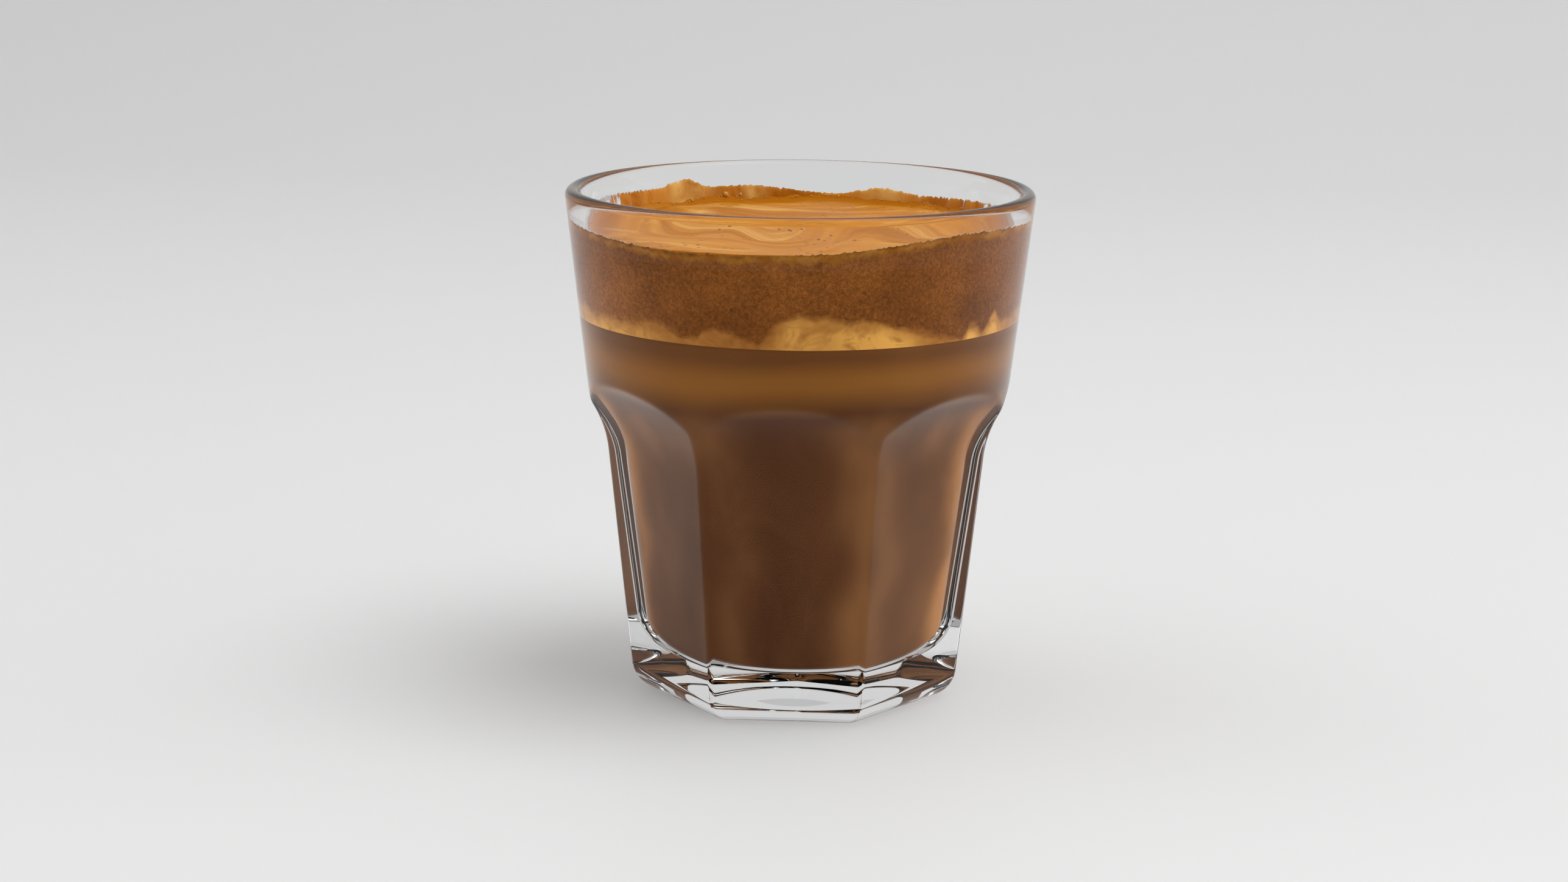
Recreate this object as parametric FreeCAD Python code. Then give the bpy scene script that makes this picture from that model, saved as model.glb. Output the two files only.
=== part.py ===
"""A frappe coffee in a seven-sided tumbler of clear pressed glass.

The drink stands in the glass as four layers that show through its wall: the coffee, a pale band of
cream with a flat underside and a lumpy top, the brown foam and a thin orange-brown crust on top.

Frame: millimetres, +Z up. The origin is the middle of the foot, on the surface that the glass stands
on. The front is -Y, where one of the seven flat sides faces straight out.
"""
import FreeCAD, Part
import math
import os

from FreeCAD import Vector

# ---- the glass, outside ----
GLASS_HEIGHT = 94.6
RIM_RADIUS = 43.0              # half of the mouth's outside width
BODY_DRAFT = 0.114             # how far the round upper body widens for each millimetre up
RIM_WALL = 2.9                 # glass thickness at the mouth, rolled over in a half circle

SIDES = 7
FACET_RADIUS = 27.7            # axis to the middle of a flat side, at the height of the table
FACET_DRAFT = 0.094            # how far a flat side leans out for each millimetre up
FLARE_START = 46.5             # height where the flat sides begin to sweep out to the round body
FLARE_RADIUS = 21.0
EDGE_ROUND = 1.6               # softened upright edges between the flat sides

FOOT_HEIGHT = 5.1              # rounded-in foot below the flat sides
FOOT_INSET = 3.7
PUNT_RADIUS = 19.0             # shallow hollow under the base
PUNT_DEPTH = 2.2

# ---- the glass, inside ----
CUP_FLOOR = 9.0                # height of the cup's floor above the table
CUP_CORNER = 6.0
CUP_DRAFT = 0.135              # how far the inside wall widens for each millimetre up
LOWER_WALL = 3.6               # glass behind the middle of a flat side, where the shoulder starts
SHOULDER_LEAD = 1.5            # the inside starts to widen this far below the outside
SHOULDER_HEIGHT = 22.0
SHOULDER_EASE = 9.5            # how slowly the shoulder turns out of and into the straight walls

# ---- the drink ----
FREE_DEPTH = 7.6               # from the rim down to the crust
CRUST_THICKNESS = 1.1
HEAD_DEPTH = 14.5              # foam and cream together, under the crust
CREAM_LEAST = 1.6              # thickness of the cream between its lumps
MENISCUS_HEIGHT = 1.5          # the crust climbs the wall by this much
MENISCUS_WIDTH = 1.3
MENISCUS_EDGE = 0.3

# Lumps of cream along the wall: place round the glass in degrees (0 is the front, going to the
# right), height above the thin part, and half-width in degrees.
CREAM_LUMPS = (
    (-58, 2.4, 20),
    (-14, 2.6, 7),
    (8, 4.8, 9),
    (22, 3.2, 8),
    (57, 2.4, 13),
    (96, 3.6, 15),
    (139, 2.2, 14),
    (178, 3.4, 16),
    (-143, 2.7, 13),
    (-104, 3.1, 14),
)
CREAM_MIDDLE = 2.0             # extra thickness at the axis, where the lumps fade out
SHEET_STEPS = 24               # the height field has this many squares from side to side

# ---- heights that follow from these ----
BEAD = RIM_WALL / 2
BEAD_HEIGHT = GLASS_HEIGHT - BEAD
SHOULDER_START = FLARE_START - SHOULDER_LEAD
SHOULDER_END = SHOULDER_START + SHOULDER_HEIGHT
DRINK_LEVEL = GLASS_HEIGHT - FREE_DEPTH
CRUST_LEVEL = DRINK_LEVEL - CRUST_THICKNESS
CREAM_LEVEL = CRUST_LEVEL - HEAD_DEPTH


def revolve(edges):
    """Turns a closed outline of edges in the XZ plane round the axis of the glass."""
    face = Part.Face(Part.Wire(Part.__sortEdges__(edges)))
    return face.revolve(Vector(0, 0, 0), Vector(0, 0, 1), 360)


def line(start, end):
    """A straight edge between two (radius, height) pairs."""
    return Part.LineSegment(Vector(start[0], 0, start[1]), Vector(end[0], 0, end[1])).toShape()


def arc(start, middle, end):
    """A circular edge through three (radius, height) pairs."""
    points = [Vector(radius, 0, height) for radius, height in (start, middle, end)]
    return Part.Arc(*points).toShape()


def tangent_arc(start, direction, end):
    """The circular edge that leaves start along direction and ends at end."""
    length = math.hypot(*direction)
    along = (direction[0] / length, direction[1] / length)
    chord = (end[0] - start[0], end[1] - start[1])
    side = along[0] * chord[1] - along[1] * chord[0]
    radius = (chord[0] ** 2 + chord[1] ** 2) / (2 * side)
    centre = (start[0] - along[1] * radius, start[1] + along[0] * radius)
    middle_way = (start[0] + end[0] - 2 * centre[0], start[1] + end[1] - 2 * centre[1])
    reach = abs(radius) / math.hypot(*middle_way)
    middle = (centre[0] + middle_way[0] * reach, centre[1] + middle_way[1] * reach)
    return arc(start, middle, end)


def body_radius(height):
    """Outside of the round upper body."""
    return RIM_RADIUS - BODY_DRAFT * (BEAD_HEIGHT - height)


def facet_radius(height):
    """Axis to the middle of a flat side, below the flare."""
    return FACET_RADIUS + FACET_DRAFT * height


def lower_cup_radius(height):
    """Inside wall below the shoulder."""
    at_shoulder = facet_radius(SHOULDER_START) - LOWER_WALL
    return at_shoulder - CUP_DRAFT * (SHOULDER_START - height)


def upper_cup_radius(height):
    """Inside wall above the shoulder."""
    return RIM_RADIUS - RIM_WALL - CUP_DRAFT * (BEAD_HEIGHT - height)


def cup_wall_edges(top):
    """Edges of the inside wall from the floor at the axis up to the height top, as seen from the side."""
    slope = math.atan(CUP_DRAFT)
    centre_height = CUP_FLOOR + CUP_CORNER
    corner_top_height = centre_height - CUP_CORNER * math.sin(slope)
    corner_top = (lower_cup_radius(corner_top_height), corner_top_height)
    centre_radius = corner_top[0] - CUP_CORNER * math.cos(slope)
    middle_turn = (slope + math.pi / 2) / 2
    corner_middle = (
        centre_radius + CUP_CORNER * math.cos(middle_turn),
        centre_height - CUP_CORNER * math.sin(middle_turn),
    )
    shoulder = (lower_cup_radius(SHOULDER_START), SHOULDER_START)
    top_of_shoulder = (upper_cup_radius(SHOULDER_END), SHOULDER_END)
    sweep = Part.BezierCurve()
    sweep.setPoles(
        [
            Vector(shoulder[0], 0, shoulder[1]),
            Vector(shoulder[0] + CUP_DRAFT * SHOULDER_EASE, 0, shoulder[1] + SHOULDER_EASE),
            Vector(top_of_shoulder[0] - CUP_DRAFT * SHOULDER_EASE, 0, top_of_shoulder[1] - SHOULDER_EASE),
            Vector(top_of_shoulder[0], 0, top_of_shoulder[1]),
        ]
    )
    return [
        line((0, CUP_FLOOR), (centre_radius, CUP_FLOOR)),
        arc((centre_radius, CUP_FLOOR), corner_middle, corner_top),
        line(corner_top, shoulder),
        sweep.toShape(),
        line(top_of_shoulder, (upper_cup_radius(top), top)),
    ]


def cup_contents(top):
    """Solid that fills the cup up to the height top."""
    edges = cup_wall_edges(top)
    edges.append(line((upper_cup_radius(top), top), (0, top)))
    edges.append(line((0, top), (0, CUP_FLOOR)))
    return revolve(edges)


def faceted_block():
    """Seven-sided block with leaning sides, a rounded-in foot and sides that flare out at the top."""
    reach = 2 * RIM_RADIUS
    foot_top = (facet_radius(FOOT_HEIGHT), FOOT_HEIGHT)
    foot_bottom = (foot_top[0] - FOOT_INSET, 0)
    flare_bottom = (facet_radius(FLARE_START), FLARE_START)
    slope = math.atan(FACET_DRAFT)
    centre = (
        flare_bottom[0] + FLARE_RADIUS * math.cos(slope),
        flare_bottom[1] - FLARE_RADIUS * math.sin(slope),
    )
    flare_top = (centre[0], centre[1] + FLARE_RADIUS)
    outline = [
        tangent_arc(foot_top, (-FACET_DRAFT, -1), foot_bottom),
        line(foot_top, flare_bottom),
        tangent_arc(flare_bottom, (FACET_DRAFT, 1), flare_top),
        line(flare_top, (reach, flare_top[1])),
        line((reach, flare_top[1]), (reach, -1)),
        line((reach, -1), (foot_bottom[0], -1)),
        line((foot_bottom[0], -1), foot_bottom),
    ]
    side = Part.Face(Part.Wire(Part.__sortEdges__(outline)))
    side.translate(Vector(0, -reach, 0))
    cutter = side.extrude(Vector(0, 2 * reach, 0))
    block = Part.makeCylinder(RIM_RADIUS + EDGE_ROUND, GLASS_HEIGHT)
    for index in range(SIDES):
        turned = cutter.copy()
        turned.rotate(Vector(0, 0, 0), Vector(0, 0, 1), -90 + index * 360 / SIDES)
        block = block.cut(turned)
    upright = [edge for edge in block.Edges if is_upright(edge)]
    return block.makeFillet(EDGE_ROUND, upright)


def is_upright(edge):
    """True for an edge between two flat or flaring sides, which runs up the block at a corner."""
    box = edge.BoundBox
    middle = edge.valueAt((edge.FirstParameter + edge.LastParameter) / 2)
    turn = math.degrees(math.atan2(middle.x, -middle.y))
    from_corner = abs((turn / (360 / SIDES)) % 1 - 0.5)
    return from_corner < 0.01 and box.ZLength > FOOT_HEIGHT / 2


def make_glass():
    """The tumbler: a round cup outside and in, with seven flat sides and a hollow under the base."""
    inner_rim = (RIM_RADIUS - RIM_WALL, BEAD_HEIGHT)
    outside = revolve(
        [
            line((0, 0), (body_radius(0), 0)),
            line((body_radius(0), 0), (RIM_RADIUS, BEAD_HEIGHT)),
            arc((RIM_RADIUS, BEAD_HEIGHT), (RIM_RADIUS - BEAD, GLASS_HEIGHT), inner_rim),
            line(inner_rim, (0, BEAD_HEIGHT)),
            line((0, BEAD_HEIGHT), (0, 0)),
        ]
    )
    punt_ball_radius = (PUNT_RADIUS ** 2 + PUNT_DEPTH ** 2) / (2 * PUNT_DEPTH)
    punt_ball = Part.makeSphere(punt_ball_radius, Vector(0, 0, PUNT_DEPTH - punt_ball_radius))
    return outside.common(faceted_block()).cut(cup_contents(BEAD_HEIGHT)).cut(punt_ball)


def height_field(height_at):
    """Smooth sheet z = height_at(x, y) over a square a little wider than the glass."""
    reach = RIM_RADIUS + 2
    steps = [-reach + 2 * reach * index / SHEET_STEPS for index in range(SHEET_STEPS + 1)]
    grid = [[Vector(x, y, height_at(x, y)) for y in steps] for x in steps]
    sheet = Part.BSplineSurface()
    sheet.interpolate(grid)
    return sheet.toShape()


def cream_top(x, y):
    """Height of the cream: its thin part, plus a bell-shaped lump at each listed place by the wall."""
    turn = math.degrees(math.atan2(x, -y))
    outward = min(math.hypot(x, y) / upper_cup_radius(CREAM_LEVEL), 1)
    lumps = 0
    for place, height, half_width in CREAM_LUMPS:
        away = (turn - place + 180) % 360 - 180
        lumps += height * math.exp(-(away / half_width) ** 2)
    fade = outward ** 2 * (3 - 2 * outward)
    return CREAM_LEVEL + CREAM_LEAST + lumps * fade + CREAM_MIDDLE * (1 - fade)


def make_drink():
    """The four layers of the drink, from the floor of the cup to the top of the crust."""
    contents = cup_contents(CRUST_LEVEL)
    head_block = Part.makeCylinder(2 * RIM_RADIUS, GLASS_HEIGHT, Vector(0, 0, CREAM_LEVEL))
    coffee = contents.cut(head_block)
    head = contents.common(head_block)
    above_cream = height_field(cream_top).extrude(Vector(0, 0, GLASS_HEIGHT))
    return coffee, head.cut(above_cream), head.common(above_cream), make_crust()


def make_crust():
    """Thin crust on the foam, with an edge that climbs the wall."""
    edge_height = DRINK_LEVEL + MENISCUS_HEIGHT
    foot = (upper_cup_radius(CRUST_LEVEL), CRUST_LEVEL)
    edge_outside = (upper_cup_radius(edge_height), edge_height)
    edge_inside = (edge_outside[0] - MENISCUS_EDGE, edge_height)
    hollow_start = (edge_inside[0] - MENISCUS_WIDTH, DRINK_LEVEL)
    return revolve(
        [
            line((0, CRUST_LEVEL), foot),
            line(foot, edge_outside),
            line(edge_outside, edge_inside),
            tangent_arc(hollow_start, (1, 0), edge_inside),
            line(hollow_start, (0, DRINK_LEVEL)),
            line((0, DRINK_LEVEL), (0, CRUST_LEVEL)),
        ]
    )


def export(name, shape):
    """Writes one piece as parts/NAME.step, after checking that it is one valid solid."""
    solids = shape.Solids
    print(name, "solids", len(solids), "valid", shape.isValid(), "ml", round(shape.Volume / 1000, 2))
    assert len(solids) == 1 and solids[0].isValid(), name
    solids[0].exportStep("parts/" + name + ".step")


def main():
    os.makedirs("parts", exist_ok=True)
    coffee, cream, foam, crust = make_drink()
    export("glass", make_glass())
    export("coffee", coffee)
    export("cream", cream)
    export("foam", foam)
    export("crust", crust)


if __name__ == "__main__":
    main()
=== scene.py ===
"""A frappe coffee in a seven-sided tumbler of clear pressed glass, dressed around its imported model.

Metres, +Z up, the front is -Y. Places round the glass are given in degrees: 0 is the front, and they
go to the right, so 90 is +X.
"""
import math

import bpy
import numpy as np
from mathutils import Matrix, Vector


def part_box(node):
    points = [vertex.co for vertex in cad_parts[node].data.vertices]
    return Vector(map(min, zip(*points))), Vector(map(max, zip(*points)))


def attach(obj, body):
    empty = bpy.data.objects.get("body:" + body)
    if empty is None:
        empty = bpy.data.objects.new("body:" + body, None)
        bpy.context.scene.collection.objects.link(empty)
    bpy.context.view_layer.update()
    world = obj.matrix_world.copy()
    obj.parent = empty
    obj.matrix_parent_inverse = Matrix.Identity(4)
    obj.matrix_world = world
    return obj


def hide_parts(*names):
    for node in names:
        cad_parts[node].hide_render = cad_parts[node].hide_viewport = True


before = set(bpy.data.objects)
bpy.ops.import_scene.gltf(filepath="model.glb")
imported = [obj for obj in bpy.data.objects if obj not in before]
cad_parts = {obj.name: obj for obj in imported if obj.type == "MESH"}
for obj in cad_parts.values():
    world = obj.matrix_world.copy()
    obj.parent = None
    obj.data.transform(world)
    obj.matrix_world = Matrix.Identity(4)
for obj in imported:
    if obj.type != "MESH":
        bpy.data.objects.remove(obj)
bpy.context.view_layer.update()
MM = 0.001

# ---------------------------------------------------------------------------------------------
# The table, the light and the camera.
# A pale table top that curves up into a backdrop, a wide soft lamp overhead and a bright room at
# both sides, with less light from behind the camera.
# ---------------------------------------------------------------------------------------------
TABLE_GREY = (0.85, 0.85, 0.85)
TABLE_GLOW = 0.76              # light of its own that the table shows through clear glass
TABLE_HALF_WIDTH = 2.2
TABLE_FRONT = -1.2
BACKDROP_DISTANCE = 0.75
BACKDROP_HEIGHT = 1.4
BACKDROP_BEND = 0.45


def new_material(name):
    """An empty material, its node tree and its output node."""
    material = bpy.data.materials.new(name)
    material.use_nodes = True
    tree = material.node_tree
    tree.nodes.clear()
    return material, tree, tree.nodes.new("ShaderNodeOutputMaterial")


def add_node(tree, kind, inputs, operation=None):
    """A node of a kind. Each of its inputs, by name or number, gets a constant or another output."""
    node = tree.nodes.new("ShaderNode" + kind)
    if operation:
        node.operation = operation
    for name, value in inputs.items():
        if isinstance(value, bpy.types.NodeSocket):
            tree.links.new(value, node.inputs[name])
        else:
            node.inputs[name].default_value = value
    return node


def finish_with(tree, output, first, second, share):
    """Sends two shaders to the output, mixed by the share of the second."""
    mix = add_node(tree, "MixShader", {0: share, 1: first.outputs[0], 2: second.outputs[0]})
    tree.links.new(mix.outputs[0], output.inputs["Surface"])


def span(tree, value, low, high, to_low=0.0, to_high=1.0):
    """Maps low..high to to_low..to_high and stops there."""
    limits = {"From Min": low, "From Max": high, "To Min": to_low, "To Max": to_high}
    return add_node(tree, "MapRange", {"Value": value, **limits}).outputs[0]


def maths(tree, first, operation, second):
    """Two values put together by a named operation; each is an output or a number."""
    return add_node(tree, "Math", {0: first, 1: second}, operation).outputs[0]


def sheet_faces(rows, columns, around, poles):
    """The faces of a grid of points: their corners in turn, and how many corners each face has.

    Each square joins point (row, column) to its neighbours in the next row and column. With around,
    the last column joins the first. With poles, two more points come after the grid's own, and fans
    of triangles join them to the first and the last row.
    """
    row, column = np.meshgrid(
        np.arange(rows - 1), np.arange(columns if around else columns - 1), indexing="ij"
    )
    beside = (column + 1) % columns
    squares = np.stack(
        [row * columns + column, row * columns + beside,
         (row + 1) * columns + beside, (row + 1) * columns + column], axis=-1
    ).reshape(-1, 4)
    if not poles:
        return squares.ravel(), np.full(len(squares), 4)
    here = np.arange(columns)
    there = (here + 1) % columns
    last_row = (rows - 1) * columns
    first_pole = np.full(columns, rows * columns)
    fans = np.concatenate([
        np.stack([there, here, first_pole], axis=-1),
        np.stack([last_row + here, last_row + there, first_pole + 1], axis=-1),
    ])
    corners = np.concatenate([squares.ravel(), fans.ravel()])
    return corners, np.repeat([4, 3], [len(squares), len(fans)])


def smooth_piece(name, points, corners, sizes, material):
    """A smooth piece of a material, from its points and from faces as sheet_faces gives them."""
    mesh = bpy.data.meshes.new(name)
    mesh.vertices.add(len(points))
    mesh.vertices.foreach_set("co", points.astype(np.float32).ravel())
    mesh.loops.add(len(corners))
    mesh.loops.foreach_set("vertex_index", corners.astype(np.int32))
    mesh.polygons.add(len(sizes))
    mesh.polygons.foreach_set("loop_start", (np.cumsum(sizes) - sizes).astype(np.int32))
    mesh.polygons.foreach_set("loop_total", sizes.astype(np.int32))
    mesh.update(calc_edges=True)
    mesh.shade_smooth()
    mesh.materials.append(material)
    piece = bpy.data.objects.new(name, mesh)
    bpy.context.scene.collection.objects.link(piece)
    return piece


def sheet_piece(name, grid, material, around=True, poles=()):
    """A piece whose surface is a grid of points, rows by columns, closed by two poles if given."""
    rows, columns = grid.shape[:2]
    points = np.vstack([grid.reshape(-1, 3), *poles])
    corners, sizes = sheet_faces(rows, columns, around, bool(poles))
    return smooth_piece(name, points, corners, sizes, material)


def backdrop_sweep(along, across):
    """Flat from the front to the bend, a quarter circle, then straight up, carried sideways."""
    flat = BACKDROP_DISTANCE - TABLE_FRONT
    bend = BACKDROP_BEND * math.pi / 2
    length = along * (flat + bend + BACKDROP_HEIGHT)
    turn = np.clip((length - flat) / BACKDROP_BEND, 0, math.pi / 2)
    y = TABLE_FRONT + np.minimum(length, flat) + BACKDROP_BEND * np.sin(turn)
    z = BACKDROP_BEND * (1 - np.cos(turn)) + np.maximum(length - flat - bend, 0)
    x = (across * 2 - 1) * TABLE_HALF_WIDTH
    return np.stack(np.broadcast_arrays(x, y, z), axis=-1)


table_paint, tree, output = new_material("table_paint")
matt_paint = add_node(tree, "BsdfPrincipled", {"Base Color": (*TABLE_GREY, 1), "Roughness": 0.6})
painted_glow = add_node(tree, "Emission", {"Color": (*TABLE_GREY, 1), "Strength": TABLE_GLOW})
ray = add_node(tree, "LightPath", {})
finish_with(tree, output, matt_paint, painted_glow, ray.outputs["Is Transmission Ray"])
table_grid = backdrop_sweep(np.linspace(0, 1, 160)[:, None], np.array([[1.0, 0.0]]))
table = sheet_piece("table", table_grid, table_paint, around=False)

ROOM_BEHIND_CAMERA = 0.10
ROOM_AHEAD = 0.95
ROOM_SIDES = 0.85              # added at the far left and right, less by the square towards the middle

world = bpy.data.worlds.new("room")
bpy.context.scene.world = world
world.use_nodes = True
tree = world.node_tree
tree.nodes.clear()
where = add_node(tree, "TexCoord", {})
split = add_node(tree, "SeparateXYZ", {0: where.outputs["Generated"]})
front_to_back = span(tree, split.outputs["Y"], -1.0, 0.2, ROOM_BEHIND_CAMERA, ROOM_AHEAD)
sides = maths(tree, split.outputs["X"], "MULTIPLY", ROOM_SIDES)
sides = maths(tree, sides, "MULTIPLY", split.outputs["X"])
room = add_node(tree, "Background", {"Strength": maths(tree, sides, "ADD", front_to_back)})
add_node(tree, "OutputWorld", {"Surface": room.outputs[0]})

LAMP_PLACE = Vector((0.50, -0.20, 1.35))
LAMP_AIM = Vector((0, 0, 0.05))
LAMP_SIZE = 0.9
LAMP_POWER = 8.0

lamp = bpy.data.lights.new("key_lamp", "AREA")
lamp.shape = "SQUARE"
lamp.size = LAMP_SIZE
lamp.energy = LAMP_POWER
lamp_holder = bpy.data.objects.new("key_lamp", lamp)
lamp_holder.location = LAMP_PLACE
lamp_holder.rotation_euler = (LAMP_AIM - LAMP_PLACE).to_track_quat("-Z", "Y").to_euler()
bpy.context.scene.collection.objects.link(lamp_holder)

CAMERA_TURN = 3.39             # degrees round the glass, to the right of the front
CAMERA_DISTANCE = 0.5063       # from the axis, measured level
CAMERA_HEIGHT = 0.1595
CAMERA_PITCH = 12.54           # degrees down
CAMERA_YAW = -0.29             # degrees off the axis
CAMERA_ROLL = 0.556
LENS = 63.82

turn, pitch = math.radians(CAMERA_TURN), math.radians(CAMERA_PITCH)
yaw, roll = math.radians(CAMERA_YAW), math.radians(CAMERA_ROLL)
forward = Vector((math.sin(yaw) * math.cos(pitch), math.cos(yaw) * math.cos(pitch), -math.sin(pitch)))
level_right = Vector((math.cos(yaw), -math.sin(yaw), 0))
level_up = level_right.cross(forward)
right = math.cos(roll) * level_right + math.sin(roll) * level_up
up = -math.sin(roll) * level_right + math.cos(roll) * level_up
aim = Matrix((right, up, -forward)).transposed().to_4x4()
camera_data = bpy.data.cameras.new("camera")
camera_data.lens = LENS
camera = bpy.data.objects.new("camera", camera_data)
camera.matrix_world = (
    Matrix.Rotation(turn, 4, "Z")
    @ Matrix.Translation((0, -CAMERA_DISTANCE, CAMERA_HEIGHT))
    @ aim
)
bpy.context.scene.collection.objects.link(camera)
bpy.context.scene.camera = camera
bpy.context.scene.view_settings.view_transform = "Standard"

# ---------------------------------------------------------------------------------------------
# The glass: a tumbler pressed from clear soda-lime glass and fire-polished.
# Seven flat sides lean out and sweep into a round upper body with a rolled rim. Inside, the cup is
# round, and under the thick base is a shallow hollow.
# ---------------------------------------------------------------------------------------------
glass_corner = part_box("glass")[1]
GLASS_HEIGHT = glass_corner.z
RIM_RADIUS = glass_corner.x
RIM_WALL = 2.9 * MM
BEAD = RIM_WALL / 2
BEAD_HEIGHT = GLASS_HEIGHT - BEAD
BODY_DRAFT = 0.114
SIDES = 7
FACET_RADIUS = 27.7 * MM
FACET_DRAFT = 0.094
FLARE_START = 46.5 * MM
FLARE_RADIUS = 21.0 * MM
EDGE_ROUND = 1.6 * MM
ARCH_ROUND = 0.5 * MM
ARCH_TOP = 68.0 * MM           # the outside is round from here up
FOOT_HEIGHT = 5.1 * MM
FOOT_INSET = 3.7 * MM
PUNT_RADIUS = 19.0 * MM
PUNT_DEPTH = 2.2 * MM
CUP_FLOOR = 9.0 * MM
CUP_CORNER = 6.0 * MM
CUP_DRAFT = 0.135
LOWER_WALL = 3.6 * MM
SHOULDER_START = 45.0 * MM
SHOULDER_END = 67.0 * MM
SHOULDER_EASE = 9.5 * MM
GLASS_IOR = 1.52
GLASS_TINT = (0.985, 0.99, 0.99)
GLASS_MIRROR = (0.1, 0.1, 0.1)         # share of the mirror image that the outside keeps
GLASS_SHADE = (0.93, 0.93, 0.93)       # what gets through to the drink and to the table
COLUMNS_PER_SIDE = 60


def facet_distance(height):
    """Axis to the middle of a flat side: a leaning line, a circle that sweeps out above it, and a
    quarter-round foot below it."""
    straight = FACET_RADIUS + FACET_DRAFT * height
    rise = np.clip(height - FLARE_START, 0, FLARE_RADIUS)
    swept = straight + FLARE_RADIUS - np.sqrt(FLARE_RADIUS ** 2 - rise ** 2)
    drop = np.clip(FOOT_HEIGHT - height, 0, FOOT_HEIGHT)
    foot_radius = (FOOT_HEIGHT ** 2 + FOOT_INSET ** 2) / (2 * FOOT_INSET)
    return swept - (foot_radius - np.sqrt(foot_radius ** 2 - drop ** 2))


def heptagon(turn, distance):
    """Radius at each turn of a seven-sided outline whose sides lie at distance from the axis.

    On a flat it is distance over the cosine from the side's middle. Near a corner it is the far
    crossing of the ray with a circle of EDGE_ROUND that touches both sides.
    """
    half = math.pi / SIDES
    from_middle = (turn + half) % (2 * half) - half
    flat = distance / np.cos(from_middle)
    centre = (distance - EDGE_ROUND) / math.cos(half)
    from_corner = half - np.abs(from_middle)
    inside = np.maximum(EDGE_ROUND ** 2 - (centre * np.sin(from_corner)) ** 2, 0)
    rounded = centre * np.cos(from_corner) + np.sqrt(inside)
    touches = np.tan(np.abs(from_middle)) * distance > (distance - EDGE_ROUND) * math.tan(half)
    return np.where(touches, rounded, flat)


def lesser(first, second, softness):
    """The lesser of two distances, eased where they cross: less (softness - gap) squared over four
    times softness."""
    overlap = np.maximum(softness - np.abs(first - second), 0)
    return np.minimum(first, second) - overlap ** 2 / (4 * softness)


def body_radius(height):
    """Outside of the round upper body."""
    return RIM_RADIUS - BODY_DRAFT * (BEAD_HEIGHT - height)


def outside_radius(turn, height):
    """Outside of the glass: the lesser of the round body and the seven-sided block."""
    return lesser(body_radius(height), heptagon(turn, facet_distance(height)), ARCH_ROUND)


def cup_radius(height):
    """Inside wall: two leaning lines joined by a cubic Bezier shoulder, with a round corner below."""
    lower = FACET_RADIUS + FACET_DRAFT * SHOULDER_START - LOWER_WALL
    below = lower - CUP_DRAFT * (SHOULDER_START - height)
    above = RIM_RADIUS - RIM_WALL - CUP_DRAFT * (BEAD_HEIGHT - height)
    upper = RIM_RADIUS - RIM_WALL - CUP_DRAFT * (BEAD_HEIGHT - SHOULDER_END)
    share = np.linspace(0, 1, 200)
    heights = (SHOULDER_START, SHOULDER_START + SHOULDER_EASE, SHOULDER_END - SHOULDER_EASE, SHOULDER_END)
    radii = (lower, lower + CUP_DRAFT * SHOULDER_EASE, upper - CUP_DRAFT * SHOULDER_EASE, upper)
    weights = ((1 - share) ** 3, 3 * share * (1 - share) ** 2, 3 * share ** 2 * (1 - share), share ** 3)
    shoulder_heights = sum(weight * value for weight, value in zip(weights, heights))
    shoulder_radii = sum(weight * value for weight, value in zip(weights, radii))
    shoulder = np.interp(height, shoulder_heights, shoulder_radii)
    wall = np.where(height < SHOULDER_START, below, np.where(height > SHOULDER_END, above, shoulder))
    slope = math.atan(CUP_DRAFT)
    corner_height = CUP_FLOOR + CUP_CORNER
    corner_top = corner_height - CUP_CORNER * math.sin(slope)
    corner_centre = lower - CUP_DRAFT * (SHOULDER_START - corner_top) - CUP_CORNER * math.cos(slope)
    drop = np.clip(corner_height - height, 0, CUP_CORNER)
    corner = corner_centre + np.sqrt(CUP_CORNER ** 2 - drop ** 2)
    return np.where(height < corner_top, corner, wall)


def places_round(per_side):
    """Turns round the glass, closer together near the seven corners than on the flats."""
    count = SIDES * per_side
    even = np.arange(count) / count * 2 * math.pi
    return even + 0.7 * np.sin(SIDES * even) / SIDES


def on_glass(turn, radius, height):
    """Points at a place round the glass, a radius and a height."""
    return np.stack(
        np.broadcast_arrays(radius * np.sin(turn), -radius * np.cos(turn), height), axis=-1
    )


def cup_profile(top, steps):
    """Radii and heights down the inside from top to the edge of the floor, with the corner as an arc."""
    slope = math.atan(CUP_DRAFT)
    corner_height = CUP_FLOOR + CUP_CORNER
    corner_top = corner_height - CUP_CORNER * math.sin(slope)
    heights = np.linspace(top, corner_top, steps)
    radii = cup_radius(heights)
    angle = np.linspace(slope, math.pi / 2, 14)[1:]
    centre = radii[-1] - CUP_CORNER * math.cos(slope)
    return (
        np.concatenate([radii, centre + CUP_CORNER * np.cos(angle)]),
        np.concatenate([heights, corner_height - CUP_CORNER * np.sin(angle)]),
    )


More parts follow.
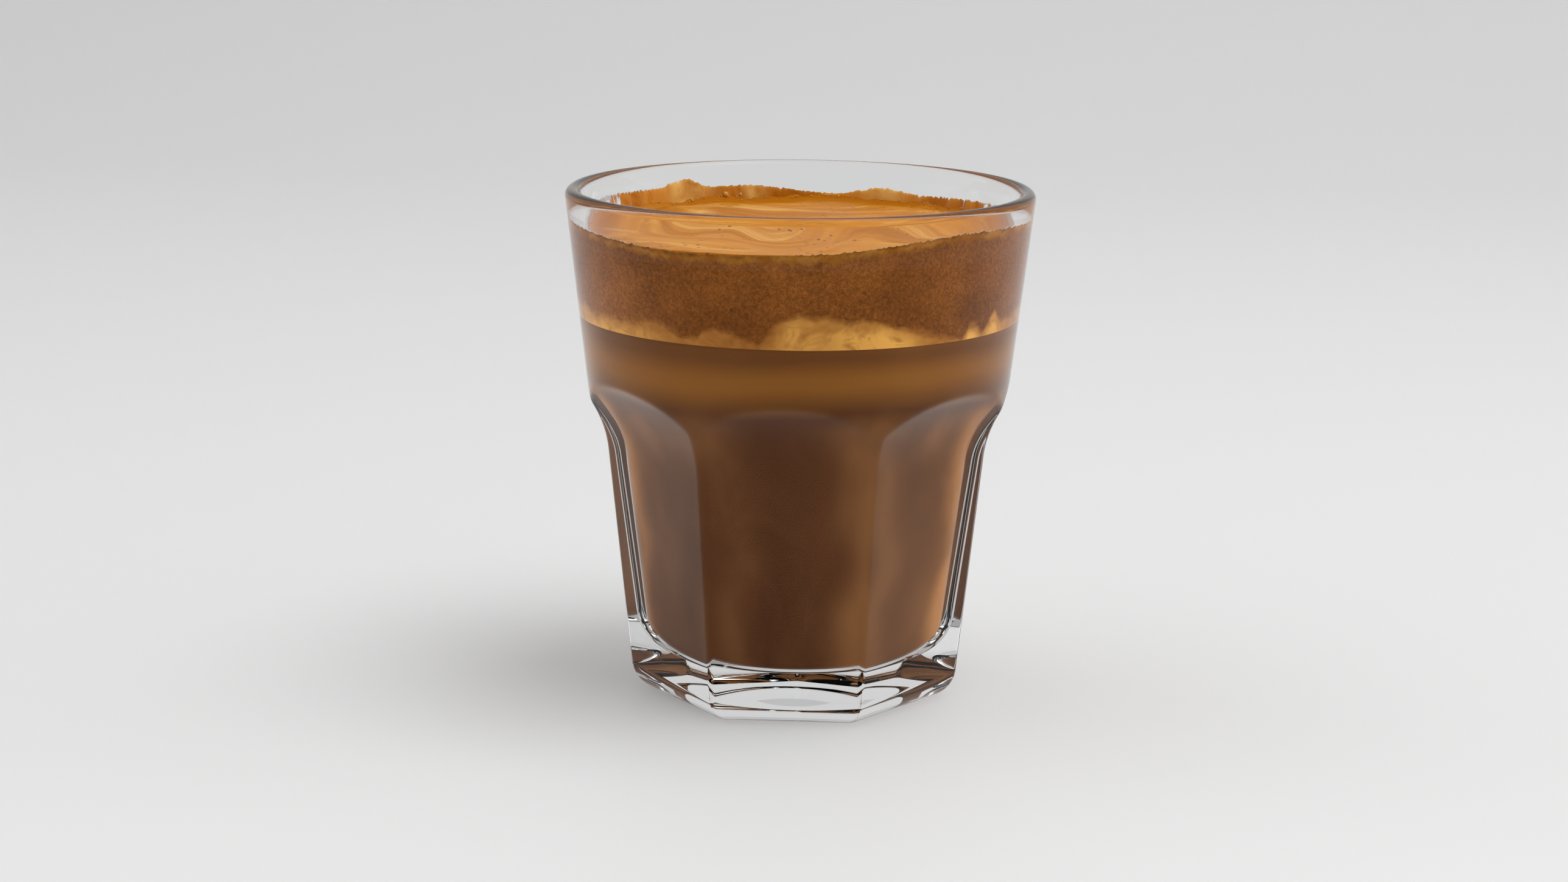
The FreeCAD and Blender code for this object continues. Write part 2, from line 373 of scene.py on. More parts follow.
def glass_surface():
    """Rows from the hollow under the base, out over the foot, up the outside, over the rim and down
    the cup to its floor."""
    turn = places_round(COLUMNS_PER_SIDE)[None, :]
    rows = []
    ball = (PUNT_RADIUS ** 2 + PUNT_DEPTH ** 2) / (2 * PUNT_DEPTH)
    punt = np.linspace(0.06, 1, 14)[:, None] * PUNT_RADIUS
    rows.append(on_glass(turn, punt, PUNT_DEPTH - ball + np.sqrt(ball ** 2 - punt ** 2)))
    foot_edge = outside_radius(turn, np.zeros((1, 1)))
    spread = np.linspace(0, 1, 6)[1:-1, None]
    rows.append(on_glass(turn, PUNT_RADIUS + spread * (foot_edge - PUNT_RADIUS), np.zeros((4, 1))))
    foot = FOOT_HEIGHT * (1 - np.cos(np.linspace(0, math.pi / 2, 10)))
    arch_start = FLARE_START - 2 * MM
    straight = np.linspace(FOOT_HEIGHT, arch_start, 16)[1:]
    arches = np.linspace(arch_start, ARCH_TOP, 64)[1:]
    body = np.linspace(ARCH_TOP, BEAD_HEIGHT, 12)[1:]
    height = np.concatenate([foot, straight, arches, body])[:, None]
    rows.append(on_glass(turn, outside_radius(turn, height), height))
    roll = np.linspace(0, math.pi, 15)[1:-1, None]
    rows.append(
        on_glass(turn, RIM_RADIUS - BEAD + BEAD * np.cos(roll), BEAD_HEIGHT + BEAD * np.sin(roll))
    )
    radii, heights = cup_profile(BEAD_HEIGHT, 72)
    rows.append(on_glass(turn, radii[:, None], heights[:, None]))
    floor = np.linspace(1, 0.06, 8)[1:, None] * radii[-1]
    rows.append(on_glass(turn, floor, np.full((7, 1), CUP_FLOOR)))
    return np.concatenate(rows)


clear_glass, tree, output = new_material("clear_glass")
bends_light = add_node(tree, "BsdfPrincipled", {
    "Base Color": (*GLASS_TINT, 1), "Roughness": 0.0, "IOR": GLASS_IOR,
    "Transmission Weight": 1.0, "Specular Tint": (*GLASS_MIRROR, 1),
})
lets_through = add_node(tree, "BsdfTransparent", {"Color": (*GLASS_SHADE, 1)})
ray = add_node(tree, "LightPath", {})
lights_the_rest = maths(tree, ray.outputs["Is Shadow Ray"], "MAXIMUM", ray.outputs["Is Diffuse Ray"])
finish_with(tree, output, bends_light, lets_through, lights_the_rest)

glass = sheet_piece(
    "tumbler", glass_surface(), clear_glass, poles=((0, 0, PUNT_DEPTH), (0, 0, CUP_FLOOR))
)
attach(glass, "root")
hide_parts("glass")

# ---------------------------------------------------------------------------------------------
# Painted light: paler orange bands where light shines through the coffee, most at the left and right and
# under the side arches, and a warmer band in the shoulder.
# The coffee: iced coffee, cloudy and reddish brown, from the cup's floor up to the cream.
# It wets the wall, so its surface lies a hair inside the glass and mirrors light that meets it at
# a flat angle, as the step from glass to water does.
# ---------------------------------------------------------------------------------------------
INTO_WALL = 0.06 * MM
WATER_IOR = 1.34
CREAM_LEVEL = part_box("cream")[0].z
COFFEE_DARK = (0.102, 0.036, 0.0135)
COFFEE_LIGHT = (0.56, 0.25, 0.090)
# Painted light: a warmer band in the cup's shoulder, where the thick glass brings more light into the
# coffee.
COFFEE_SHOULDER_PAINTED_LIGHT = (0.31, 0.118, 0.022)
COFFEE_UNDER_CREAM = (0.175, 0.062, 0.016)
# Painted light: bands round the glass where light shining through the coffee is painted in, each a place
# and half-width in degrees and a strength.
PAINTED_COFFEE_GLOWS = (
    (-22, 9, 0.20), (31, 10, 0.34), (-56, 16, 0.15), (57, 16, 0.16), (-75, 9, 0.85), (79, 11, 0.95),
    (128, 10, 0.4), (178, 12, 0.3), (-128, 11, 0.45), (103, 14, 0.2), (-152, 12, 0.2),
)
# Painted light under the arches of the two side flats, centred at ARCH_GLOW_HEIGHT.
PAINTED_ARCH_GLOWS = ((-50, 16, 0.30), (54, 18, 0.34))
ARCH_GLOW_HEIGHT = 54 * MM
ARCH_GLOW_SPREAD = 5 * MM
UPPER_START = 57 * MM          # height where the painted light in the cup's shoulder begins, where it has taken over from the darker coffee, and where its own change of colour ends
UPPER_FULL = 60 * MM           # where it has taken over from the darker coffee,
UPPER_END = 72 * MM            # and where its own change of colour ends


def wetted(tree, body, output):
    """Joins the body shader to the output under the clear face where drink meets glass: beyond the
    critical angle that face mirrors everything."""
    step = add_node(tree, "Fresnel", {"IOR": WATER_IOR / GLASS_IOR})
    mirror = add_node(tree, "BsdfAnisotropic", {"Roughness": 0.02})
    mirrored = span(tree, step.outputs[0], 0.05, 1.0)          # none below a twentieth
    finish_with(tree, output, body, mirror, mirrored)


def noise(tree, scale, detail=4.0, roughness=0.5, distortion=0.0, stretch=(1, 1, 1), bend=0.0):
    """Cloudy noise on object coordinates, between 0 and 1. With bend, in metres, the coordinates are
    first pushed about by a wide noise, which curls what is stretched."""
    where = add_node(tree, "TexCoord", {}).outputs["Object"]
    if bend:
        push = add_node(tree, "TexNoise", {"Vector": where, "Scale": 32, "Detail": 1})
        sway = {0: push.outputs["Color"], 1: (bend, bend, 0), 2: where}
        where = add_node(tree, "VectorMath", sway, "MULTIPLY_ADD").outputs[0]
    place = add_node(tree, "Mapping", {"Vector": where, "Scale": stretch})
    cloud = add_node(tree, "TexNoise", {
        "Vector": place.outputs[0], "Scale": scale, "Detail": detail, "Roughness": roughness,
        "Distortion": distortion,
    })
    return cloud.outputs["Fac"]


def ramp(tree, value, stops):
    """Colours along a value: each stop is a place from 0 to 1 and a colour."""
    band = tree.nodes.new("ShaderNodeValToRGB")
    elements = band.color_ramp.elements
    while len(elements) < len(stops):
        elements.new(0.5)
    for element, (place, colour) in zip(elements, stops):
        element.position = place
        element.color = (*colour, 1)
    tree.links.new(value, band.inputs[0])
    return band.outputs[0]


def blend(tree, first, second, factor, kind="MIX"):
    """Two colours blended by factor; each is an output or a plain colour."""
    mix = tree.nodes.new("ShaderNodeMix")
    mix.data_type = "RGBA"
    mix.blend_type = kind
    for name, colour in (("A", first), ("B", second)):
        socket = next(s for s in mix.inputs if s.name == name and s.type == "RGBA")
        if isinstance(colour, tuple):
            socket.default_value = (*colour, 1)
        else:
            tree.links.new(colour, socket)
    if isinstance(factor, float):
        mix.inputs["Factor"].default_value = factor
    else:
        tree.links.new(factor, mix.inputs["Factor"])
    return next(s for s in mix.outputs if s.type == "RGBA")


def height_of(tree):
    """Height above the table."""
    where = add_node(tree, "TexCoord", {})
    return add_node(tree, "SeparateXYZ", {0: where.outputs["Object"]}).outputs["Z"]


def bells_round(turn, listing):
    """Adds up bell curves round the glass, each with a place and a half-width in degrees and a
    strength."""
    total = 0
    for place, half_width, strength in listing:
        away = (np.degrees(turn) - place + 180) % 360 - 180
        total = total + strength * np.exp(-(away / half_width) ** 2)
    return total


def attribute(piece, name, values):
    """Stores one number for each point of a piece, in the order of its grid."""
    layer = piece.data.attributes.new(name, "FLOAT", "POINT")
    full = np.zeros(len(piece.data.vertices), np.float32)
    full[: values.size] = values.ravel()
    layer.data.foreach_set("value", full)


def turn_of(points):
    """How far round the glass points are."""
    return np.arctan2(points[..., 0], -points[..., 1])


def read_attribute(tree, name):
    """The number stored under name."""
    reader = tree.nodes.new("ShaderNodeAttribute")
    reader.attribute_name = name
    return reader.outputs["Fac"]


coffee_liquid, tree, output = new_material("coffee_liquid")
clouds = noise(tree, 45, detail=3, distortion=0.5, stretch=(1, 1, 0.6))
thin_clouds = noise(tree, 75, roughness=0.55, distortion=0.8, stretch=(1, 1, 0.45))
# Painted light: the stored glow bands, broken up by clouds, turn the coffee towards COFFEE_LIGHT.
painted_glow = maths(tree, read_attribute(tree, "painted_glow"), "MULTIPLY", span(tree, clouds, 0.34, 0.64, 0.30, 1.1))
lightness = maths(tree, painted_glow, "ADD", span(tree, thin_clouds, 0.35, 0.8, 0.0, 0.09))
depths = blend(tree, COFFEE_DARK, COFFEE_LIGHT, lightness)
waves = span(tree, noise(tree, 30, detail=2), 0.3, 0.7, -1.2 * MM, 1.2 * MM)
wavy_height = maths(tree, height_of(tree), "ADD", waves)
# Painted light: the warmer band in the shoulder, between darker coffee below and darker coffee under the
# cream.
upper = ramp(tree, span(tree, wavy_height, UPPER_START, UPPER_END), (
    (0.0, COFFEE_DARK), (0.15, COFFEE_DARK), (0.5, COFFEE_SHOULDER_PAINTED_LIGHT), (0.62, COFFEE_SHOULDER_PAINTED_LIGHT),
    (0.85, COFFEE_UNDER_CREAM),
))
upper = blend(tree, upper, COFFEE_LIGHT, maths(tree, painted_glow, "MULTIPLY", 0.4))
upper_share = span(tree, height_of(tree), UPPER_START, UPPER_FULL)
liquid = add_node(tree, "BsdfPrincipled", {
    "Base Color": blend(tree, depths, upper, upper_share), "Roughness": 0.5,
    "Specular IOR Level": 0.0,
})
wetted(tree, liquid, output)


def coffee_surface():
    """Rows out over the floor, up the wall to the cream and in over the flat top."""
    turn = np.linspace(0, 2 * math.pi, 180, endpoint=False)[None, :]
    radii, heights = cup_profile(CREAM_LEVEL, 60)
    radii, heights = radii[::-1, None] + INTO_WALL, heights[::-1, None] - INTO_WALL
    heights[-1] = CREAM_LEVEL
    inward = np.append(0.999, np.linspace(1, 0.08, 10)[1:])[:, None]
    floor = inward[::-1] * radii[0]
    top = inward * radii[-1]
    return np.concatenate([
        on_glass(turn, floor, np.full_like(floor, heights[0])),
        on_glass(turn, radii, heights),
        on_glass(turn, top, np.full_like(top, CREAM_LEVEL)),
    ])


rows = coffee_surface()
coffee = sheet_piece(
    "coffee_body", rows, coffee_liquid, poles=((0, 0, CUP_FLOOR - INTO_WALL), (0, 0, CREAM_LEVEL))
)
turn, height = turn_of(rows), rows[..., 2]
# Painted light for each point: the glow bands, swaying with height, and the band under the arches.
sway = 0.05 * np.sin(150 * height) + 0.03 * np.sin(340 * height + 1)       # from side to side, in radians
under_arches = np.exp(-((height - ARCH_GLOW_HEIGHT) / ARCH_GLOW_SPREAD) ** 2)
painted_arch_glow = under_arches * bells_round(turn, PAINTED_ARCH_GLOWS)
attribute(coffee, "painted_glow", bells_round(turn + sway, PAINTED_COFFEE_GLOWS) + painted_arch_glow)
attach(coffee, "root")
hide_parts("coffee")

# ---------------------------------------------------------------------------------------------
# The cream and the foam: a pale marbled band of cream with a flat underside and a lumpy top, and
# the fine brown foam that stands on it.
# Both are beaten full of tiny bubbles, float on the coffee and cling to the wall. The cream's colour
# feathers out into the foam above it.
# ---------------------------------------------------------------------------------------------
CREAM_EDGE = (
    (-176, 1.4), (-152, 4.3), (-126, 1.0), (-112, 3.6), (-82, 3.0), (-37, 3.1), (-24, 0.8), (-21, 3.4),
    (-18, 3.4), (-9, 1.1), (-7, 0.1), (-3, 4.2), (2, 6.2), (14, 5.3), (25, 4.2), (31, 3.1), (46, 1.1),
    (51, 0.5), (53, 3.4), (56, 2.8), (59, 0.4), (61, 2.2), (64, 4.6), (67, 2.4), (89, 3.4), (104, 4.6),
    (130, 1.4), (156, 4.8),
)
CREAM_MIDDLE = 2.7 * MM
CREAM_PATCHES = (
    (-150, 12, 1.0), (-98, 9, 0.8), (-58, 22, 0.75), (-18, 5, 0.1), (4, 6, 0.8), (16, 6, 0.6),
    (28, 9, 1.0), (54, 4, 1.0), (65, 5, 0.8), (105, 14, 1.0), (156, 10, 1.0),
)
FOAM_DARK = (0.168, 0.053, 0.010)
FOAM_LIGHT = (0.35, 0.115, 0.020)
CREAM_BRIGHT = (1.0, 0.50, 0.105)
CREAM_TAN = (0.54, 0.225, 0.046)
CRUST_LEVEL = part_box("crust")[0].z


def line_round(turn, listing, softness):
    """A smooth closed line round the glass through places in degrees and heights in millimetres:
    straight between them, then averaged with a bell as wide as softness, in degrees."""
    places, heights = np.array(listing).T
    fine = np.arange(-180, 180, 0.25)
    line = np.interp(fine, places, heights, period=360)
    reach = math.ceil(8 * softness)
    bell = np.exp(-(np.arange(-reach, reach + 1) / (4 * softness)) ** 2)
    line = np.convolve(np.pad(line, reach, mode="wrap"), bell / bell.sum(), mode="valid")
    return MM * np.interp(np.degrees(turn), fine, line, period=360)


def ripples(turn, seed, lowest, highest, falloff):
    """Uneven waves round the glass: cosines of whole numbers of turns with random starts, each
    weaker than the last by falloff, scaled to a spread of one."""
    counts = np.arange(lowest, highest)
    starts = np.random.default_rng(seed).uniform(0, 2 * math.pi, len(counts))
    weights = counts ** -falloff
    waves = np.tensordot(weights, np.cos(counts[:, None, None] * turn + starts[:, None, None]), 1)
    return waves / math.sqrt((weights ** 2).sum() / 2)


def cream_top(turn, outward):
    """Height of the cream by its place round the glass and its share of the way out to the wall."""
    fade = outward ** 2 * (3 - 2 * outward)
    edge = line_round(turn, CREAM_EDGE, softness=0.7)
    edge = edge + 0.10 * MM * ripples(turn, seed=4, lowest=9, highest=60, falloff=0.8)
    return CREAM_LEVEL + edge * fade + CREAM_MIDDLE * (1 - fade)


def cells_apart(tree, scale):
    """Distance to the middle of the nearest of many random cells, scale cells to the metre."""
    where = add_node(tree, "TexCoord", {}).outputs["Object"]
    return add_node(tree, "TexVoronoi", {"Vector": where, "Scale": scale}).outputs["Distance"]


def froth_grain(tree):
    """Light and dark of the tiny bubbles, near one: cells of 0.3 mm and soft patches of 0.7 mm."""
    grain = span(tree, cells_apart(tree, 3200), 0.0, 0.8, 0.66, 1.30)
    patches = span(tree, noise(tree, 1500, detail=3), 0.35, 0.65, 0.82, 1.18)
    return maths(tree, grain, "MULTIPLY", patches)


def specks(tree, scale, size, rarity, share):
    """Where specks lie and how much they hide, up to share: each is up to size of a cell across,
    with scale cells to the metre, and lies where a cloudy noise is above rarity."""
    dots = span(tree, cells_apart(tree, scale), 0.7 * size, size, share, 0.0)
    return maths(tree, dots, "MULTIPLY", maths(tree, noise(tree, 110, detail=2), "GREATER_THAN", rarity))


def shaded(tree, colour, light):
    """colour times light, a number."""
    grey = add_node(tree, "CombineColor", {0: light, 1: light, 2: light})
    return blend(tree, colour, grey.outputs[0], 1.0, "MULTIPLY")


def head_colour(tree):
    """Foam over cream: by the height above the cream's top, with wispy borders and brighter patches
    in the cream."""
    foam_clouds = noise(tree, 50, detail=5, roughness=0.6, distortion=0.4)
    foam = blend(tree, FOAM_DARK, FOAM_LIGHT, span(tree, foam_clouds, 0.30, 0.75))
    foam = shaded(tree, foam, froth_grain(tree))
    foam = blend(tree, foam, COFFEE_DARK, specks(tree, 330, 0.12, 0.60, 0.7))
    wisps = noise(tree, 120, detail=5, roughness=0.55, distortion=1.2, stretch=(1, 1, 1.4))
    wisps = span(tree, wisps, 0.25, 0.75, -0.9 * MM, 0.9 * MM)
    tufts = noise(tree, 420, roughness=0.6, distortion=0.8)
    tufts = span(tree, tufts, 0.25, 0.75, -0.45 * MM, 0.45 * MM)
    above = maths(tree, read_attribute(tree, "above_cream"), "ADD", wisps)
    above = maths(tree, above, "ADD", tufts)
    patch = read_attribute(tree, "bright_patch")
    veins = noise(tree, 85, detail=5, roughness=0.6, distortion=1.6, stretch=(1, 1, 1.8))
    veins = span(tree, veins, 0.36, 0.60, 0.0, 0.8)
    tan_share = maths(tree, veins, "ADD", maths(tree, patch, "MULTIPLY", 0.7))
    cream = blend(tree, FOAM_LIGHT, CREAM_TAN, tan_share)
    marbling = noise(tree, 105, detail=6, roughness=0.6, distortion=1.8, stretch=(1, 1, 1.8))
    inside_cream = span(tree, above, -2.6 * MM, -0.2 * MM, 1.0, 0.0)
    bright = maths(tree, inside_cream, "MULTIPLY", span(tree, marbling, 0.36, 0.54))
    cream = blend(tree, cream, CREAM_BRIGHT, maths(tree, bright, "MULTIPLY", patch))
    return blend(tree, cream, foam, span(tree, above, -0.8 * MM, 0.5 * MM))


def layer_between(name, material, floor_of, top_of):
    """A disc of the drink between two heights, each a function of the place round the glass and the
    share of the way out, with its wall a hair inside the glass."""
    turn = np.linspace(0, 2 * math.pi, 540, endpoint=False)[None, :]
    outward = np.linspace(0.05, 1, 14)[:, None]
    wall_low, wall_high = floor_of(turn, np.ones((1, 1))), top_of(turn, np.ones((1, 1)))
    climb = np.concatenate([[0, 0.003], np.linspace(0.03, 0.97, 24), [0.997, 1]])[:, None]
    floor, top = floor_of(turn, outward), top_of(turn, outward)
    side = wall_low + climb * (wall_high - wall_low)
    rows = np.concatenate([
        on_glass(turn, outward * (cup_radius(wall_low) + INTO_WALL), floor)[:-1],
        on_glass(turn, cup_radius(side) + INTO_WALL, side),
        on_glass(turn, outward[::-1] * (cup_radius(wall_high) + INTO_WALL), top[::-1])[1:],
    ])
    poles = [(0, 0, float(height.mean())) for height in (floor[0], top[0])]
    piece = sheet_piece(name, rows, material, poles=poles)
    attribute(piece, "above_cream", rows[..., 2] - cream_top(turn_of(rows), np.ones((1, 1))))
    attribute(piece, "bright_patch", np.minimum(bells_round(turn_of(rows), CREAM_PATCHES), 1))
    return piece


def level(height):
    """A flat top or floor."""
    return lambda turn, outward: height + 0 * (turn + outward)


froth, tree, output = new_material("cream_and_foam")
body = add_node(tree, "BsdfPrincipled", {
    "Base Color": head_colour(tree), "Roughness": 0.6, "Specular IOR Level": 0.0,
})
wetted(tree, body, output)

cream = layer_between("cream_band", froth, level(CREAM_LEVEL), cream_top)
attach(cream, "root")
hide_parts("cream")

foam = layer_between("foam_head", froth, cream_top, level(CRUST_LEVEL))
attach(foam, "root")
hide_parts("foam")

# ---------------------------------------------------------------------------------------------
# The crust: the orange-brown skin of fine foam on top, streaked with paler cream.
# It gathers on top of the foam as the drink stands, lies in small swells, and climbs the glass by a
# millimetre where it clings to the wall.
# ---------------------------------------------------------------------------------------------
DRINK_LEVEL = CRUST_LEVEL + 1.1 * MM
CLIMB_START = 0.955            # share of the way out
CLIMB_HEIGHT = 1.0 * MM
CRUST_ORANGE = (0.52, 0.163, 0.003)
CRUST_TAN = (0.68, 0.275, 0.034)
CRUST_PALE = (0.84, 0.48, 0.125)
CRUST_BROWN = (0.20, 0.065, 0.010)
CRUST_EDGE_AND_PAINTED_BACKLIGHT = (0.46, 0.145, 0.003)      # dark saturated orange of the skin at the wall and of its streaks; on the film's inside, painted light shining through it
PALE_STREAK = ((-25.0, 34.0), (-19.5, 17.0))


def crust_height(x, y):
    """Small swells of the skin: three crossing waves, each bent by the next."""
    first = np.sin(x * 210 + 2.2 * np.sin(y * 160 + 1.0))
    second = np.sin(y * 330 + 1.7 * np.sin(x * 240) + 0.6)
    third = np.sin((x + y) * 520 + 2.0 * np.sin((x - y) * 300))
    return (0.10 * first + 0.06 * second + 0.03 * third) * MM


def wall_climb(outward):
    """How far the skin climbs near the wall: by the square of the share of the last stretch out."""
    return CLIMB_HEIGHT * np.clip((outward - CLIMB_START) / (1 - CLIMB_START), 0, 1) ** 2


def crust_surface():
    """Rows out under the skin, up at the wall, and in over its gently uneven top."""
    turn = np.linspace(0, 2 * math.pi, 360, endpoint=False)[None, :]
    outward = np.append(np.linspace(0.01, 0.999, 90), 1)[:, None]
    wall_low, wall_high = cup_radius(CRUST_LEVEL), cup_radius(DRINK_LEVEL)
    x, y = outward * wall_high * np.sin(turn), -outward * wall_high * np.cos(turn)
    top = DRINK_LEVEL + crust_height(x, y) + wall_climb(outward)
    under = outward[::6]
    rows = np.concatenate([
        on_glass(turn, under * wall_low, np.full_like(under, CRUST_LEVEL)),
        on_glass(turn, (outward * wall_high)[::-1], top[::-1]),
    ])
    return rows, np.concatenate([under, outward[::-1]]) + 0 * turn


def pale_streak(x, y):
    """One for points on the line between PALE_STREAK's ends, falling off as a bell."""
    (x0, y0), (x1, y1) = np.array(PALE_STREAK) * MM
    length = math.hypot(x1 - x0, y1 - y0)
    share = np.clip(((x - x0) * (x1 - x0) + (y - y0) * (y1 - y0)) / length ** 2, 0, 1)
    away = np.hypot(x - x0 - share * (x1 - x0), y - y0 - share * (y1 - y0))
    return np.exp(-(away / (2.0 * MM)) ** 2)


def crust_colour(tree):
    """Soft swirls of orange and tan, thin streaks of dark orange and of pale cream, one pale patch,
    plain orange towards the wall, and fine dark specks."""
    swirls = noise(tree, 40, detail=6, roughness=0.55, distortion=1.2, stretch=(0.6, 1.4, 1), bend=0.05)
    colour = blend(tree, CRUST_ORANGE, CRUST_TAN, span(tree, swirls, 0.36, 0.60))
    dark = noise(tree, 80, detail=6, roughness=0.6, distortion=0.8, stretch=(0.35, 1.7, 1), bend=0.06)
    colour = blend(tree, colour, CRUST_EDGE_AND_PAINTED_BACKLIGHT, span(tree, dark, 0.51, 0.64, 0.0, 0.8))
    pale = noise(tree, 66, detail=7, roughness=0.6, distortion=0.8, stretch=(0.35, 1.9, 1), bend=0.06)
    colour = blend(tree, colour, CRUST_PALE, span(tree, pale, 0.53, 0.66, 0.0, 0.85))
    broken = span(tree, noise(tree, 150, roughness=0.6), 0.35, 0.55)
    colour = blend(tree, colour, CRUST_PALE, maths(tree, read_attribute(tree, "pale"), "MULTIPLY", broken))
    waver = span(tree, noise(tree, 120, roughness=0.6, distortion=1.0), 0.3, 0.7, -0.09, 0.09)
    near_wall = maths(tree, read_attribute(tree, "to_wall"), "ADD", waver)
    colour = blend(tree, colour, CRUST_EDGE_AND_PAINTED_BACKLIGHT, span(tree, near_wall, 0.80, 0.97))
    return blend(tree, colour, CRUST_BROWN, specks(tree, 600, 0.24, 0.56, 0.8))


crust_skin, tree, output = new_material("crust_skin")
pores = add_node(tree, "Bump", {
    "Strength": 0.25, "Distance": 0.3 * MM, "Height": noise(tree, 1500, detail=3),
})
skin = add_node(tree, "BsdfPrincipled", {
    "Base Color": crust_colour(tree), "Roughness": 0.35, "IOR": WATER_IOR,
    "Specular IOR Level": 0.04, "Normal": pores.outputs[0],
})
tree.links.new(skin.outputs[0], output.inputs["Surface"])

rows, to_wall = crust_surface()
crust_middle = DRINK_LEVEL + float(crust_height(0, 0))
crust = sheet_piece("crust_skin", rows, crust_skin, poles=((0, 0, CRUST_LEVEL), (0, 0, crust_middle)))
attribute(crust, "to_wall", to_wall)
attribute(crust, "pale", pale_streak(rows[..., 0], rows[..., 1]))
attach(crust, "root")
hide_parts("crust")

# ---------------------------------------------------------------------------------------------
# The film: what the crust leaves on the wall above it.
# It is wet foam about half a millimetre thick, thicker in lumps, that clings to the glass by itself
# and ends in a thin ragged edge, highest at the back left.
# ---------------------------------------------------------------------------------------------
FILM_THICKNESS = 0.45 * MM
FILM_TUCK = 0.6 * MM           # how far it runs down behind the crust
FILM_EDGE = (
    (-180, 1.5), (-163, 2.9), (-149, 2.8), (-144, 4.6), (-139, 4.3), (-134, 3.2), (-112, 3.4),
    (-78, 2.6), (-52, 1.5), (-30, 0.6), (-14, 0.7), (12, 1.4), (36, 3.1), (46, 3.6), (60, 3.5),
    (95, 2.8), (132, 2.3), (148, 1.9), (160, 2.9), (172, 1.3),
)
PALE_LUMPS = ((-146, 5, 1.0), (-139, 3, 1.0), (158, 6, 1.0), (-163, 3, 1.0))
PLAIN_FOAM = 10 * MM           # so far above the cream that head_colour gives foam only


def film_edge(turn):
    """Height of the film's ragged top edge."""
    ragged = 0.09 * MM * ripples(turn, seed=11, lowest=40, highest=420, falloff=0.35)
    return DRINK_LEVEL + line_round(turn, FILM_EDGE, softness=1.5) + ragged


def film_surface():
    """Rows up the outside of the film, over its thin edge and down its inside."""
    turn = np.linspace(0, 2 * math.pi, 1080, endpoint=False)[None, :]
    bottom = CRUST_LEVEL - FILM_TUCK
    climb = np.linspace(0, 1, 14)[:, None]
    edge = film_edge(turn)
    height = bottom + climb * (edge - bottom)
    lumps = 1 + 0.35 * ripples(turn, seed=21, lowest=8, highest=90, falloff=0.5)
    thickness = FILM_THICKNESS * np.sqrt(1 - 0.97 * climb ** 3) * np.clip(lumps, 0.4, 2.2)
    outside = on_glass(turn, cup_radius(height) + INTO_WALL, height)
    inside = on_glass(turn, cup_radius(height) - thickness, height)
    rows = np.concatenate([outside, inside[::-1], outside[:1]])
    inner = np.concatenate([np.zeros(14), np.ones(14), [0]])[:, None] + 0 * turn
    below_edge = np.concatenate([edge - height, (edge - height)[::-1], edge - height[:1]])
    return rows, inner, below_edge


def film_colour(tree):
    """Outside: an orange line along the edge that melts into the foam's colour below. Inside: saturated
    orange with tan patches, painted light shining through the thin film from behind."""
    ragged = span(tree, noise(tree, 500, roughness=0.6), 0.25, 0.75, -0.6 * MM, 0.6 * MM)
    down = maths(tree, read_attribute(tree, "below_edge"), "ADD", ragged)
    line = blend(tree, CRUST_TAN, CRUST_EDGE_AND_PAINTED_BACKLIGHT, span(tree, noise(tree, 260, roughness=0.6), 0.4, 0.6))
    line = shaded(tree, line, span(tree, down, -0.2 * MM, 0.5 * MM, 0.35, 0.70))
    outside = blend(tree, line, head_colour(tree), span(tree, down, 0.7 * MM, 1.7 * MM))
    patches = noise(tree, 60, detail=5, roughness=0.6, distortion=1.0, stretch=(1, 1, 0.6))
    # Painted light: the inside's saturated orange stands for light shining through the thin film from
    # behind.
    inside = blend(tree, CRUST_EDGE_AND_PAINTED_BACKLIGHT, CRUST_TAN, span(tree, patches, 0.44, 0.56))
    broken = span(tree, noise(tree, 200, roughness=0.6), 0.3, 0.6)
    inside = blend(tree, inside, CRUST_PALE, maths(tree, read_attribute(tree, "pale"), "MULTIPLY", broken))
    return blend(tree, outside, inside, read_attribute(tree, "inner_face"))


crust_film, tree, output = new_material("crust_film")
clings = add_node(tree, "BsdfPrincipled", {
    "Base Color": film_colour(tree), "Roughness": 0.45, "Specular IOR Level": 0.08,
})
wetted(tree, clings, output)

rows, inner_face, below_edge = film_surface()
film = sheet_piece("crust_film", rows, crust_film)
attribute(film, "inner_face", inner_face)
attribute(film, "below_edge", below_edge)
attribute(film, "pale", bells_round(turn_of(rows), PALE_LUMPS))
attribute(film, "above_cream", np.full(inner_face.shape, PLAIN_FOAM))
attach(film, "root")

# ---------------------------------------------------------------------------------------------
# The bubbles: three of 0.6 to 1.2 mm that float left of the middle on the far side, and a froth of
# tiny ones along the wall.
# Each is a thin wet dome of the crust's own colour, with about a third of it sunk in the skin.
# ---------------------------------------------------------------------------------------------
BIG_BUBBLES = ((-16.8, 35.5, 0.60), (-14.0, 36.7, 0.50), (-22.9, 31.0, 0.30))
WALL_BUBBLES = 360
SMALLEST, LARGEST = 0.07, 0.20         # radii of those along the wall, in millimetres
MEAN_DISTANCE = 0.35                   # from the wall, in millimetres
WALL_GAP = 0.15 * MM
DOME_RINGS, DOME_COLUMNS = 4, 8


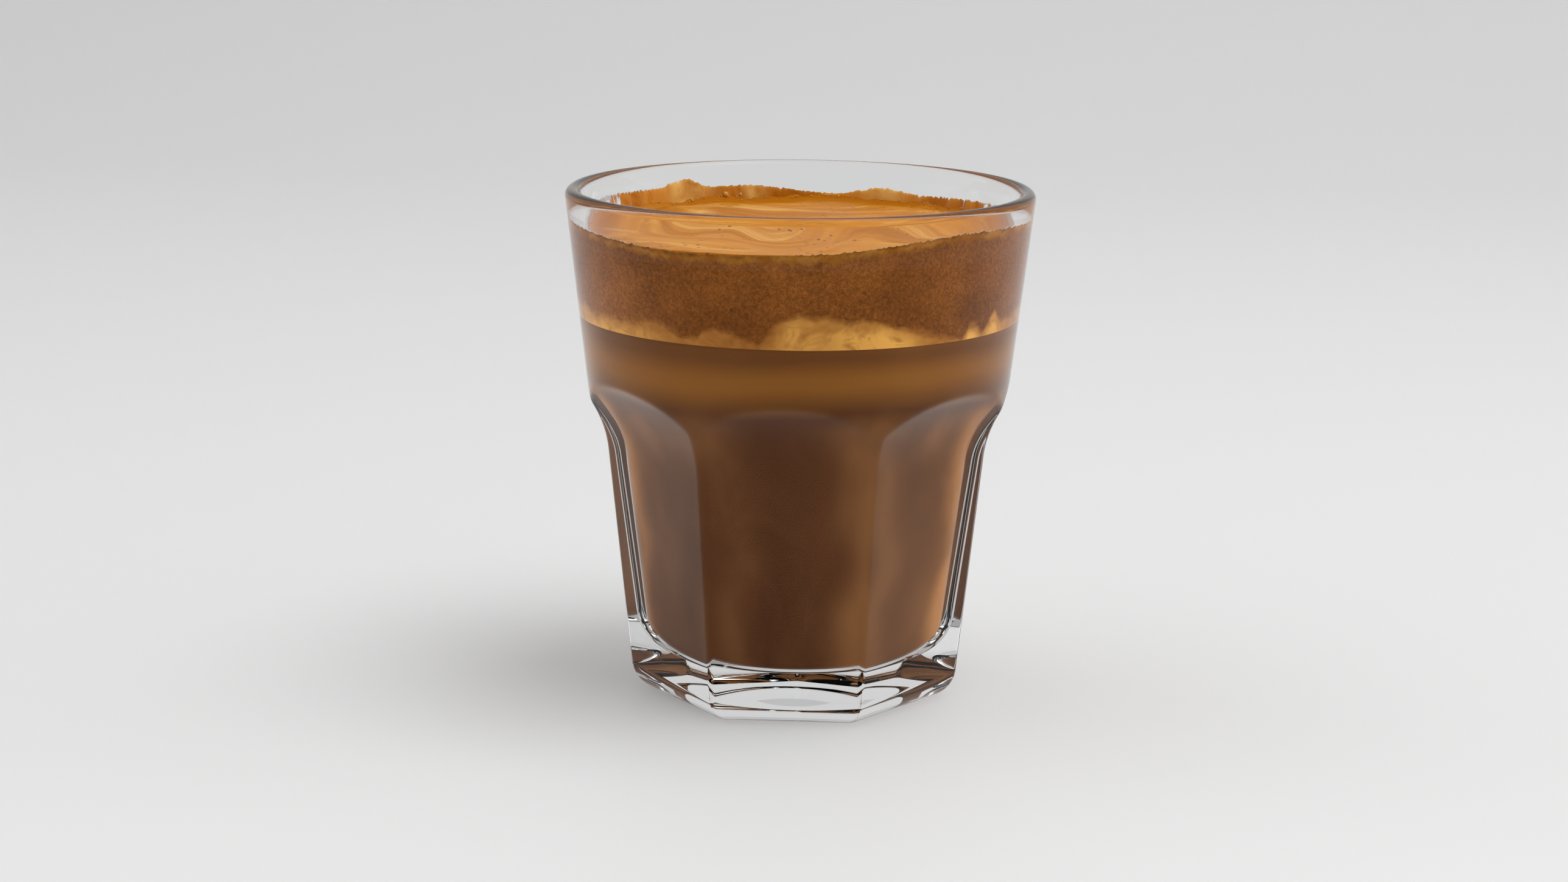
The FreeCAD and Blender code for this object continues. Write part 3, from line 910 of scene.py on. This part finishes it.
def dome_surface(x, y, z, radius):
    """Small spheres, one for each centre: rings by latitude, columns by longitude, then two poles."""
    latitude = np.linspace(-math.pi / 2, math.pi / 2, DOME_RINGS + 2)[1:-1, None]
    longitude = np.linspace(0, 2 * math.pi, DOME_COLUMNS, endpoint=False)[None, :]
    ring = np.stack(np.broadcast_arrays(
        np.cos(latitude) * np.cos(longitude), np.cos(latitude) * np.sin(longitude), np.sin(latitude)
    ), axis=-1).reshape(-1, 3)
    unit = np.vstack([ring, (0, 0, -1), (0, 0, 1)])
    centre = np.stack([x, y, z], axis=-1)[:, None, :]
    return centre + unit[None] * radius[:, None, None]


chance = np.random.default_rng(31)
turn = chance.uniform(-math.pi, math.pi, WALL_BUBBLES)
from_wall = chance.exponential(MEAN_DISTANCE, WALL_BUBBLES) * MM
wall_radii = chance.uniform(SMALLEST, LARGEST, WALL_BUBBLES) * MM
out = cup_radius(DRINK_LEVEL + 0.5 * MM) - WALL_GAP - from_wall
big_x, big_y, big_radii = np.array(BIG_BUBBLES).T * MM
x = np.concatenate([big_x, out * np.sin(turn)])
y = np.concatenate([big_y, -out * np.cos(turn)])
radii = np.concatenate([big_radii, wall_radii])
outward = np.hypot(x, y) / cup_radius(DRINK_LEVEL)
z = DRINK_LEVEL + crust_height(x, y) + wall_climb(outward) + 0.3 * radii

bubble_film, tree, output = new_material("bubble_film")
dome_tint = blend(tree, CRUST_ORANGE, CRUST_PALE, noise(tree, 900, detail=2))
dome = add_node(tree, "BsdfPrincipled", {
    "Base Color": dome_tint, "Roughness": 0.12, "IOR": WATER_IOR,
})
tree.links.new(dome.outputs[0], output.inputs["Surface"])

domes = dome_surface(x, y, z, radii)
count, points_each = domes.shape[:2]
corners, sizes = sheet_faces(DOME_RINGS, DOME_COLUMNS, around=True, poles=True)
corners = (corners + points_each * np.arange(count)[:, None]).ravel()
bubbles = smooth_piece("bubbles", domes.reshape(-1, 3), corners, np.tile(sizes, count), bubble_film)
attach(bubbles, "root")
